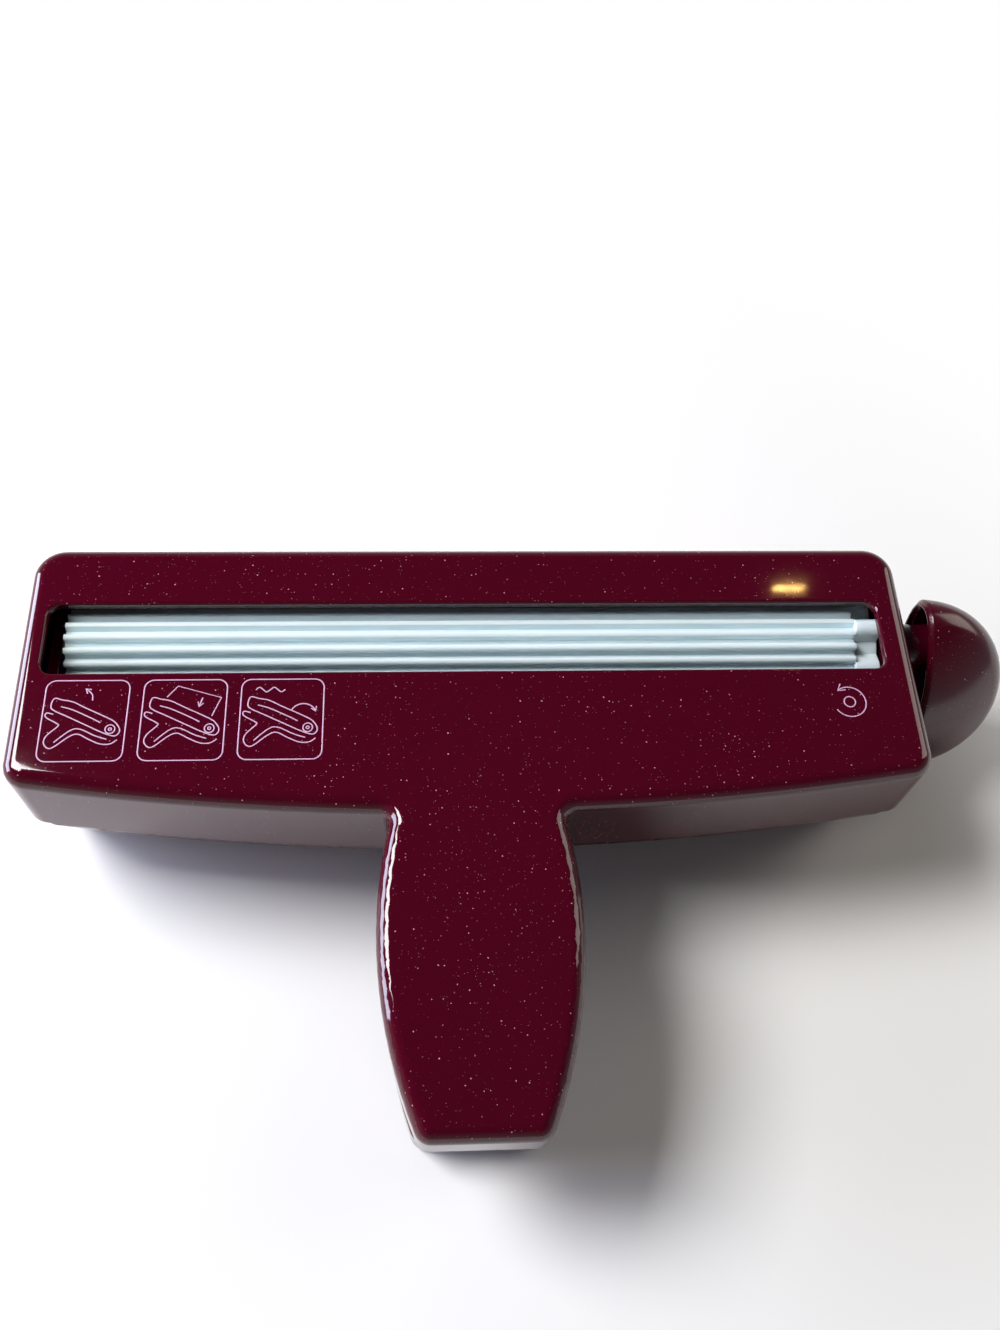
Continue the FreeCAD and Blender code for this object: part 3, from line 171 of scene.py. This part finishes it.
def glitter_abs(finish, name, shine, rounding):
    """Injection-moulded ABS with glitter in it: deep in colour, with pale flakes of many brightnesses.

    The shine is the roughness where the skin is least and most rubbed.
    """
    material, tree, shader = new_material(name)
    place = millimetres(tree)
    crowd = add_node(tree, "ShaderNodeTexNoise", {"Scale": 1 / 38, "Detail": 1.0}, {"Vector": place})
    masks = []
    for brightness, width, pitch, shift in FLAKES:
        radius, spacing = finish.fleck_radius * width, finish.fleck_spacing * pitch
        moved = add_node(tree, "ShaderNodeVectorMath", {1: (shift,) * 3}, {0: place}, operation="ADD")
        cells = add_node(tree, "ShaderNodeTexVoronoi", {"Scale": MM / spacing},
                         {"Vector": moved.outputs[0]})
        edge = radius / spacing
        # A flake fades out at its edge, and is there only if its chance lies below the local crowd's.
        flake = add_node(tree, "ShaderNodeMapRange", {"From Min": edge * 1.1, "From Max": edge * 0.75},
                         {"Value": cells.outputs["Distance"]})
        chance = add_node(tree, "ShaderNodeSeparateColor", links={"Color": cells.outputs["Color"]})
        there = add_node(tree, "ShaderNodeMath",
                         links={0: chance.outputs["Green"], 1: crowd.outputs["Fac"]},
                         operation="LESS_THAN")
        bright = add_node(tree, "ShaderNodeMath", {1: 1.8}, {0: chance.outputs["Red"]},
                          operation="POWER")
        lit = add_node(tree, "ShaderNodeMath", links={0: flake.outputs[0], 1: bright.outputs[0]},
                       operation="MULTIPLY")
        seen = add_node(tree, "ShaderNodeMath", links={0: lit.outputs[0], 1: there.outputs[0]},
                        operation="MULTIPLY")
        masks.append(add_node(tree, "ShaderNodeMath", {1: brightness}, {0: seen.outputs[0]},
                              operation="MULTIPLY"))
    glint = add_node(tree, "ShaderNodeMath", links={0: masks[0].outputs[0], 1: masks[1].outputs[0]},
                     operation="MAXIMUM")
    depth = add_node(tree, "ShaderNodeTexNoise", {"Scale": 1 / 9, "Detail": 3.0}, {"Vector": place})
    tone = add_node(tree, "ShaderNodeMapRange", {"To Min": 0.93, "To Max": 1.07},
                    {"Value": depth.outputs["Fac"]})
    body = add_node(tree, "ShaderNodeVectorMath", {0: finish.burgundy}, {"Scale": tone.outputs[0]},
                    operation="SCALE")
    paint = add_node(tree, "ShaderNodeMix", {"B": rgba(finish.fleck)},
                     {"Factor": glint.outputs[0], "A": body.outputs[0]}, data_type="RGBA")
    tree.links.new(paint.outputs["Result"], shader.inputs["Base Color"])
    rub = add_node(tree, "ShaderNodeTexNoise", {"Scale": 1 / 14, "Detail": 6.0, "Roughness": 0.7},
                   {"Vector": place})
    gloss = add_node(tree, "ShaderNodeMapRange",
                     {"From Min": 0.35, "From Max": 0.75, "To Min": shine[0], "To Max": shine[1]},
                     {"Value": rub.outputs["Fac"]})
    tree.links.new(gloss.outputs[0], shader.inputs["Roughness"])
    shader.inputs["IOR"].default_value = ABS_IOR
    peel = add_node(tree, "ShaderNodeTexNoise", {"Scale": 1 / 2.4, "Detail": 2.0}, {"Vector": place})
    soft_edge = add_node(tree, "ShaderNodeBevel", {"Radius": rounding}, samples=8)
    skin = add_node(tree, "ShaderNodeBump", {"Strength": 0.06, "Distance": 0.02 * MM},
                    {"Height": peel.outputs["Fac"], "Normal": soft_edge.outputs[0]})
    tree.links.new(skin.outputs[0], shader.inputs["Normal"])
    return material


def satin_abs(finish):
    """The same ABS without glitter from a sparked mould: inner covers that scatter light evenly.

    The sparked grain is finer than the render shows, so it is drawn half a millimetre wide.
    """
    material, tree, shader = new_material("satin ABS, sparked mould")
    place = millimetres(tree)
    shader.inputs["Base Color"].default_value = rgba(finish.inner)
    shader.inputs["IOR"].default_value = ABS_IOR
    grain = add_node(tree, "ShaderNodeTexNoise", {"Scale": 1 / 0.5, "Detail": 3.0}, {"Vector": place})
    rough = add_node(tree, "ShaderNodeMapRange", {"To Min": 0.42, "To Max": 0.55},
                     {"Value": grain.outputs["Fac"]})
    tree.links.new(rough.outputs[0], shader.inputs["Roughness"])
    soft_edge = add_node(tree, "ShaderNodeBevel", {"Radius": 0.25 * MM}, samples=4)
    skin = add_node(tree, "ShaderNodeBump", {"Strength": 0.3, "Distance": 0.03 * MM},
                    {"Height": grain.outputs["Fac"], "Normal": soft_edge.outputs[0]})
    tree.links.new(skin.outputs[0], shader.inputs["Normal"])
    return material


def white_plastic(finish):
    """Moulded white plastic of rollers and gears: smooth, a little see-through, slightly uneven in tone."""
    material, tree, shader = new_material("white polystyrene, moulded")
    place = millimetres(tree)
    cloud = add_node(tree, "ShaderNodeTexNoise", {"Scale": 1 / 25, "Detail": 4.0}, {"Vector": place})
    tone = add_node(tree, "ShaderNodeMapRange", {"To Min": 0.95, "To Max": 1.03},
                    {"Value": cloud.outputs["Fac"]})
    body = add_node(tree, "ShaderNodeVectorMath", {0: finish.white}, {"Scale": tone.outputs[0]},
                    operation="SCALE")
    tree.links.new(body.outputs[0], shader.inputs["Base Color"])
    shader.inputs["Roughness"].default_value = 0.34
    shader.inputs["IOR"].default_value = 1.5
    shader.inputs["Subsurface Weight"].default_value = 0.6
    shader.inputs["Subsurface Radius"].default_value = (1.0, 0.95, 0.9)
    shader.inputs["Subsurface Scale"].default_value = 2.5 * MM
    soft_edge = add_node(tree, "ShaderNodeBevel", {"Radius": 0.2 * MM}, samples=4)
    tree.links.new(soft_edge.outputs[0], shader.inputs["Normal"])
    return material


def acetal(finish):
    """Moulded acetal of the bushes: milky and slippery."""
    material, tree, shader = new_material("acetal, moulded")
    shader.inputs["Base Color"].default_value = rgba(finish.acetal)
    shader.inputs["Roughness"].default_value = 0.4
    soft_edge = add_node(tree, "ShaderNodeBevel", {"Radius": 0.15 * MM}, samples=4)
    tree.links.new(soft_edge.outputs[0], shader.inputs["Normal"])
    return material


def turned_metal(name, tint, groove, roughness):
    """Turned metal: fine rings round the X axis that stretch each highlight.

    Tool marks are finer than the render shows, so the rings are drawn a groove's width apart, in
    millimetres, which is coarser than the real ones.
    """
    material, tree, shader = new_material(name)
    place = millimetres(tree)
    shader.inputs["Base Color"].default_value = rgba(tint)
    shader.inputs["Metallic"].default_value = 1.0
    squeezed = add_node(tree, "ShaderNodeMapping", {"Scale": (1 / groove, 0.2, 0.2)}, {"Vector": place})
    rings = add_node(tree, "ShaderNodeTexNoise", {"Scale": 1.0, "Detail": 2.0},
                     {"Vector": squeezed.outputs[0]})
    rough = add_node(tree, "ShaderNodeMapRange",
                     {"To Min": roughness * 0.8, "To Max": roughness * 1.3},
                     {"Value": rings.outputs["Fac"]})
    tree.links.new(rough.outputs[0], shader.inputs["Roughness"])
    soft_edge = add_node(tree, "ShaderNodeBevel", {"Radius": 0.1 * MM}, samples=4)
    skin = add_node(tree, "ShaderNodeBump", {"Strength": 0.2, "Distance": 0.01 * MM},
                    {"Height": rings.outputs["Fac"], "Normal": soft_edge.outputs[0]})
    tree.links.new(skin.outputs[0], shader.inputs["Normal"])
    return material


def pad_ink(finish):
    """Pad-printed ink: thin, matt and pale. All prints share one material."""
    if "pad-printed ink" in bpy.data.materials:
        return bpy.data.materials["pad-printed ink"]
    material, tree, shader = new_material("pad-printed ink")
    shader.inputs["Base Color"].default_value = rgba(finish.ink)
    shader.inputs["Roughness"].default_value = 0.5
    return material


def dress(nodes, material):
    """Give CAD nodes a finish, and shade their round faces smooth while flat ones stay flat."""
    for name in nodes:
        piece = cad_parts[name]
        piece.data.materials.clear()
        piece.data.materials.append(material)
        piece.data.polygons.foreach_set("use_smooth", [True] * len(piece.data.polygons))
        weld = piece.modifiers.new("join loose triangles", "WELD")
        weld.merge_threshold = 0.001 * MM
        split = piece.modifiers.new("keep edges sharp", "EDGE_SPLIT")
        split.split_angle = SHARP_TURN
        flat = piece.modifiers.new("keep flat faces flat", "WEIGHTED_NORMAL")
        flat.mode = "FACE_AREA_WITH_ANGLE"


# ------------------------------------------------------------ operators


class CrimperOperator:
    """What every operator of the crimper shares."""
    bl_options = {"REGISTER", "UNDO"}


class CRIMPER_OT_casings(CrimperOperator, bpy.types.Operator):
    """Finish the casings in polished glitter ABS"""
    bl_idname = "crimper.casings"
    bl_label = "Casings"

    def execute(self, context):
        polished = glitter_abs(context.scene.crimper_finish, "glitter ABS, polished mould",
                               shine=(0.035, 0.07), rounding=0.3 * MM)
        dress(("upper_shell", "lower_shell"), polished)
        return {"FINISHED"}


class CRIMPER_OT_crank(CrimperOperator, bpy.types.Operator):
    """Finish the crank in softer glitter ABS, worn by hands, with a rounded rim"""
    bl_idname = "crimper.crank"
    bl_label = "Crank"

    def execute(self, context):
        finish = context.scene.crimper_finish
        soft = glitter_abs(finish, "glitter ABS, satin mould", shine=(0.16, 0.22), rounding=1.2 * MM)
        dress(("crank_knob",), soft)
        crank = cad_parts["crank_knob"]
        rim = crank.modifiers.new("round the rim", "BEVEL")
        rim.width = finish.crank_rim
        rim.segments = 3
        rim.limit_method = "ANGLE"
        rim.angle_limit = math.radians(30)
        # The rim is rounded right after the triangles are joined, before sharp edges are split.
        crank.modifiers.move(len(crank.modifiers) - 1, 1)
        return {"FINISHED"}


class CRIMPER_OT_inner_covers(CrimperOperator, bpy.types.Operator):
    """Finish the decks and handle liners in satin ABS"""
    bl_idname = "crimper.inner_covers"
    bl_label = "Decks and Liners"

    def execute(self, context):
        covers = ("upper_deck", "lower_deck", "upper_handle_liner", "lower_handle_liner")
        dress(covers, satin_abs(context.scene.crimper_finish))
        return {"FINISHED"}


class CRIMPER_OT_rollers(CrimperOperator, bpy.types.Operator):
    """Finish the rollers and gears in white plastic"""
    bl_idname = "crimper.rollers"
    bl_label = "Rollers and Gears"

    def execute(self, context):
        dress(("upper_roller", "lower_roller", "upper_gear", "lower_gear"),
              white_plastic(context.scene.crimper_finish))
        return {"FINISHED"}


class CRIMPER_OT_bearings(CrimperOperator, bpy.types.Operator):
    """Finish the bushes and the thrust washer in acetal"""
    bl_idname = "crimper.bearings"
    bl_label = "Bearings"

    def execute(self, context):
        dress(("upper_bush_left", "upper_bush_crank", "lower_bush_left", "lower_bush_right",
               "thrust_washer"), acetal(context.scene.crimper_finish))
        return {"FINISHED"}


class CRIMPER_OT_metal(CrimperOperator, bpy.types.Operator):
    """Finish axles, clips, pins and screws in turned metal"""
    bl_idname = "crimper.metal"
    bl_label = "Metal Parts"

    def execute(self, context):
        finish = context.scene.crimper_finish
        dress(("upper_axle", "lower_axle", "upper_axle_clip", "lower_axle_clip", "hinge_pin_left",
               "hinge_pin_right"),
              turned_metal("turned steel", finish.steel, groove=0.3, roughness=0.24))
        dress(("upper_screws", "lower_screws"),
              turned_metal("zinc-plated steel", finish.zinc, groove=0.5, roughness=0.33))
        return {"FINISHED"}


# ------------------------------------------------------------ printed marks


def ink_line(points, closed=False):
    """A printed line through points (x, y) in millimetres, lying flat at the origin."""
    settings = bpy.context.scene.crimper_print
    bpy.ops.curve.primitive_nurbs_path_add(location=(0, 0, 0))
    line = bpy.context.object
    line.data.splines.clear()
    path = line.data.splines.new("POLY")
    path.points.add(len(points) - 1)
    for point, (x, y) in zip(path.points, points):
        point.co = (x * MM, y * MM, 0, 1)
    path.use_cyclic_u = closed
    line.data.bevel_depth = settings.line / 2
    line.data.bevel_resolution = 1
    line.data.use_fill_caps = True
    bpy.ops.object.convert(target="MESH")
    line.scale.z = settings.ink_height / settings.line
    bpy.ops.object.transform_apply(location=False, rotation=False, scale=True)
    return line


def arc(x, y, radius, start, end, steps=16):
    """Points of an arc about (x, y), in millimetres and degrees."""
    turns = [math.radians(start + (end - start) * step / steps) for step in range(steps + 1)]
    return [(x + radius * math.cos(turn), y + radius * math.sin(turn)) for turn in turns]


def smooth(points, closed=False, steps=6):
    """Points of a smooth curve that runs through the given ones."""
    count = len(points)
    ends = [points[0], *points, points[-1]] if not closed else [points[-1], *points, points[0], points[1]]
    curve = []
    for number in range(count if closed else count - 1):
        before, first, second, after = ends[number:number + 4]
        for step in range(steps):
            t = step / steps
            curve.append(tuple(
                0.5 * (2 * b + (c - a) * t
                       + (2 * a - 5 * b + 4 * c - d) * t ** 2
                       + (3 * b - a - 3 * c + d) * t ** 3)
                for a, b, c, d in zip(before, first, second, after)))
    return curve if closed else [*curve, points[-1]]


def arrow(points, size=1.6, spread=0.5):
    """A line and, at its last point, an open arrowhead whose wings spread by an angle in radians."""
    (x0, y0), (x, y) = points[-2:]
    slope = math.atan2(y - y0, x - x0)
    wings = [(x - size * math.cos(slope + side), y - size * math.sin(slope + side))
             for side in (spread, -spread)]
    return [ink_line(points), ink_line([wings[0], (x, y), wings[1]])]


def rounded_frame(width, height, corner):
    """Outline of a frame with round corners, centred on the origin."""
    across, along = width / 2 - corner, height / 2 - corner
    corners = ((across, along), (-across, along), (-across, -along), (across, -along))
    return [point for number, (x, y) in enumerate(corners)
            for point in arc(x, y, corner, 90 * number, 90 * number + 90, 6)]


# The machine's lines in a pictogram, in millimetres from the middle of its frame.
UPPER_CASING = [(-9.3, 4.7), (-8.6, 6.7), (-6.4, 6.2), (-3.6, 5.6), (-0.3, 3.9), (5.2, 1.2), (8.3, -0.6),
                (9.8, -3.0), (8.8, -4.7), (6.0, -4.0), (0.8, -1.5), (-4.6, 1.2), (-8.6, 3.2)]
SLOT = [(-6.6, 4.2), (-3.4, 3.2), (1.6, 0.8), (4.4, -0.7)]
LOWER_CASING = [(9.4, -5.9), (7.6, -7.1), (4.9, -7.0), (1.8, -5.6), (-1.2, -4.1), (-3.6, -5.0),
                (-7.7, -8.2), (-9.7, -6.9), (-9.4, -4.6), (-6.7, -1.7), (-7.2, -0.8), (-10.2, 1.0),
                (-10.2, 2.3), (-8.4, 1.9)]
LOWER_EDGE = [(-7.2, -6.5), (-3.4, -3.1), (-0.8, -2.6), (3.4, -4.6), (6.6, -5.7)]
ROLLER = (7.2, -2.7)


def machine():
    """The crimper seen from its end: both casings, the lower one's handle and a roller's end."""
    return [
        ink_line(smooth(UPPER_CASING, closed=True), closed=True),
        ink_line(smooth(SLOT)),
        ink_line(smooth(LOWER_CASING)),
        ink_line(smooth(LOWER_EDGE)),
        ink_line(arc(*ROLLER, 1.3, 0, 345, 20), closed=True),
        ink_line(arc(*ROLLER, 0.4, 0, 324, 9), closed=True),
    ]


def opening_marks():
    """The casings, with an arrow that lifts the upper handle."""
    return [*machine(), *arrow(smooth([(1.6, 6.0), (1.2, 8.0), (-0.6, 9.6)]))]


def feeding_marks():
    """A sheet that stands behind the casing and goes in."""
    sheet = ink_line([(-4.9, 6.8), (-2.2, 10.2), (9.8, 6.6), (7.6, 1.0)])
    return [*machine(), sheet, *arrow([(4.8, 6.6), (3.9, 3.8)])]


def turning_marks():
    """The crank's turn, and the sheet that comes out in waves."""
    wave = [(-7.4 + step, 8.9 + 0.7 * math.sin(step * math.pi / 2)) for step in range(9)]
    turn = [(x - 1.4, y + 3.6) for x, y in arc(*ROLLER, 3.6, 150, 20)]
    return [*machine(), ink_line(smooth(wave)), *arrow(turn)]


def print_on_top(name, marks, x, y):
    """Join the marks to one print, press it on the upper casing's top and let it ride there."""
    bpy.ops.object.select_all(action="DESELECT")
    for mark in marks:
        mark.select_set(True)
    bpy.context.view_layer.objects.active = marks[0]
    bpy.ops.object.join()
    printed = bpy.context.object
    printed.name = name
    printed.location = (x, y, TOP_FACE)
    bpy.ops.object.transform_apply(location=True, rotation=False, scale=False)
    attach(printed, "upper_jaw")
    return printed


class CRIMPER_OT_pictograms(CrimperOperator, bpy.types.Operator):
    """Print three framed pictograms beside the window"""
    bl_idname = "crimper.pictograms"
    bl_label = "Pictograms"

    def execute(self, context):
        sizes = context.scene.crimper_print
        ink = pad_ink(context.scene.crimper_finish)
        frame_line = rounded_frame(sizes.panel / MM, sizes.panel_height / MM, sizes.panel_corner / MM)
        for number, draw in enumerate((opening_marks, feeding_marks, turning_marks)):
            marks = [ink_line(frame_line, closed=True), *draw()]
            x = -CASING_END + sizes.from_left + number * sizes.pitch
            printed = print_on_top(f"pictogram_{number + 1}", marks, x, WINDOW_FRONT - sizes.from_window)
            printed.data.materials.append(ink)
        return {"FINISHED"}


class CRIMPER_OT_turn_arrow(CrimperOperator, bpy.types.Operator):
    """Print the turning arrow near the crank"""
    bl_idname = "crimper.turn_arrow"
    bl_label = "Turn Arrow"

    def execute(self, context):
        sizes = context.scene.crimper_print
        radius = sizes.arrow_radius / MM
        marks = arrow(arc(0, 0, radius, -150, 130, 28), size=2.4)
        axle = arc(0, 0, radius * 0.35, 0, 352, 20)
        marks.append(ink_line(axle, closed=True))
        printed = print_on_top("turn_arrow", marks, CASING_END - sizes.arrow_from_right,
                               WINDOW_FRONT - sizes.from_window * 0.75)
        printed.data.materials.append(pad_ink(context.scene.crimper_finish))
        return {"FINISHED"}


# ------------------------------------------------------------ stage


TABLE_MIDDLE = (0, -0.04, 0)
CASING_MIDDLE = (0, -0.04, 0.03)
# Each lamp's name, place, size, watts, colour and what it points at. The ceiling lamp stands far
# back and shines straight down: it is small and warm, and shows as one mirrored spot.
LAMPS = (
    ("left window", (-1.0, 0.20, 0.26), (0.7, 0.46), 14, "#DDE2FF", CASING_MIDDLE),
    ("skylight", (-0.85, 0.30, 1.15), (0.6, 0.6), 23, "#FFFFFF", CASING_MIDDLE),
    ("right softbox", (0.95, 0.35, 0.62), (0.6, 0.6), 3, "#FFF6EA", CASING_MIDDLE),
    ("ceiling lamp", (0.416, 0.608, 1.0), (0.036, 0.007), 0.05, "#FFC873", (0.416, 0.605, 0)),
)
# The room is brighter near the horizon, which the edges mirror, and dark overhead, where the flat
# top face looks: strength at two heights of the line of sight.
GLOW = {"From Min": 0.1, "From Max": 0.7, "To Min": 0.34, "To Max": 0.03}
GLOW_TINT = (0.93, 0.95, 1.0)


def pale_floor(stage):
    """Matt paint that takes the shadow beside the object and fades to white farther out."""
    material, tree, shader = new_material("matt paint")
    shader.inputs["Base Color"].default_value = rgba(stage.floor)
    shader.inputs["Roughness"].default_value = 0.9
    place = add_node(tree, "ShaderNodeTexCoord")
    distance = add_node(tree, "ShaderNodeVectorMath", {1: TABLE_MIDDLE},
                        {0: place.outputs["Object"]}, operation="DISTANCE")
    far = add_node(tree, "ShaderNodeMapRange",
                   {"From Min": stage.fade_start, "From Max": stage.fade_end},
                   {"Value": distance.outputs["Value"]}, interpolation_type="SMOOTHSTEP")
    ray = add_node(tree, "ShaderNodeLightPath")
    direct = add_node(tree, "ShaderNodeMath",
                      links={0: ray.outputs["Is Camera Ray"], 1: ray.outputs["Is Glossy Ray"]},
                      operation="MAXIMUM")
    any_sight = add_node(tree, "ShaderNodeMath",
                         links={0: direct.outputs[0], 1: ray.outputs["Is Transmission Ray"]},
                         operation="MAXIMUM")
    share = add_node(tree, "ShaderNodeMath", links={0: far.outputs[0], 1: any_sight.outputs[0]},
                     operation="MULTIPLY")
    white = add_node(tree, "ShaderNodeEmission", {"Strength": 1.0})
    mixed = add_node(tree, "ShaderNodeMixShader",
                     links={0: share.outputs[0], 1: shader.outputs[0], 2: white.outputs[0]})
    output = next(node for node in tree.nodes if node.type == "OUTPUT_MATERIAL")
    tree.links.new(mixed.outputs[0], output.inputs["Surface"])
    return material


def area_light(name, place, size, power, code, target):
    """Hang one rectangular lamp that points at its target."""
    bpy.ops.object.light_add(type="AREA", location=place)
    lamp = bpy.context.object
    lamp.name = name
    lamp.data.shape = "RECTANGLE"
    lamp.data.size, lamp.data.size_y = size
    lamp.data.energy = power
    lamp.data.color = linear(code)
    lamp.rotation_euler = (Vector(target) - Vector(place)).to_track_quat("-Z", "Y").to_euler()


class CRIMPER_OT_stage(CrimperOperator, bpy.types.Operator):
    """Set the camera, the pale floor and soft light"""
    bl_idname = "crimper.stage"
    bl_label = "Stage"

    def execute(self, context):
        stage = context.scene.crimper_stage
        bpy.ops.object.select_all(action="DESELECT")
        bpy.ops.mesh.primitive_plane_add(size=60, location=(0, 0, 0))
        floor = context.object
        floor.name = "floor"
        floor.data.materials.append(pale_floor(stage))
        for lamp in LAMPS:
            area_light(*lamp)

        world = bpy.data.worlds.new("studio")
        world.use_nodes = True
        tree = world.node_tree
        place = add_node(tree, "ShaderNodeTexCoord")
        height = add_node(tree, "ShaderNodeSeparateXYZ", links={"Vector": place.outputs["Generated"]})
        glow = add_node(tree, "ShaderNodeMapRange", GLOW, {"Value": height.outputs["Z"]})
        tree.links.new(glow.outputs[0], tree.nodes["Background"].inputs["Strength"])
        tree.nodes["Background"].inputs["Color"].default_value = rgba(GLOW_TINT)
        context.scene.world = world
        context.scene.view_settings.view_transform = "Standard"

        ahead = Vector((-math.sin(stage.yaw), math.cos(stage.yaw), 0))
        right = Vector((math.cos(stage.yaw), math.sin(stage.yaw), 0))
        sight = ahead * math.sin(stage.tilt) - Vector((0, 0, math.cos(stage.tilt)))
        upward = ahead * math.cos(stage.tilt) + Vector((0, 0, math.sin(stage.tilt)))
        side = right * math.cos(stage.roll) + upward * math.sin(stage.roll)
        up = upward * math.cos(stage.roll) - right * math.sin(stage.roll)
        turn = Matrix((side, up, -sight)).transposed()
        bpy.ops.object.camera_add(location=stage.eye, rotation=turn.to_euler())
        camera = context.object
        camera.data.sensor_width = 36
        camera.data.lens = stage.lens
        camera.data.clip_start = 0.01
        context.scene.camera = camera
        return {"FINISHED"}


class CRIMPER_PT_panel(bpy.types.Panel):
    """Everything that dresses the crimper."""
    bl_idname = "CRIMPER_PT_panel"
    bl_label = "Paper Crimper"
    bl_space_type = "VIEW_3D"
    bl_region_type = "UI"
    bl_category = "Crimper"

    def draw(self, context):
        for operator in OPERATORS:
            self.layout.operator(operator.bl_idname)


GROUPS = {"crimper_finish": CrimperFinish, "crimper_print": CrimperPrint, "crimper_stage": CrimperStage}
OPERATORS = (
    CRIMPER_OT_casings,
    CRIMPER_OT_crank,
    CRIMPER_OT_inner_covers,
    CRIMPER_OT_rollers,
    CRIMPER_OT_bearings,
    CRIMPER_OT_metal,
    CRIMPER_OT_pictograms,
    CRIMPER_OT_turn_arrow,
    CRIMPER_OT_stage,
)


def register():
    for item in (*GROUPS.values(), *OPERATORS, CRIMPER_PT_panel):
        bpy.utils.register_class(item)
    for name, group in GROUPS.items():
        setattr(bpy.types.Scene, name, PointerProperty(type=group))


def unregister():
    for name in GROUPS:
        delattr(bpy.types.Scene, name)
    for item in (CRIMPER_PT_panel, *reversed(OPERATORS), *GROUPS.values()):
        bpy.utils.unregister_class(item)


def main():
    register()
    for operator in OPERATORS:
        group, name = operator.bl_idname.split(".")
        getattr(getattr(bpy.ops, group), name)()


if __name__ == "__main__":
    main()
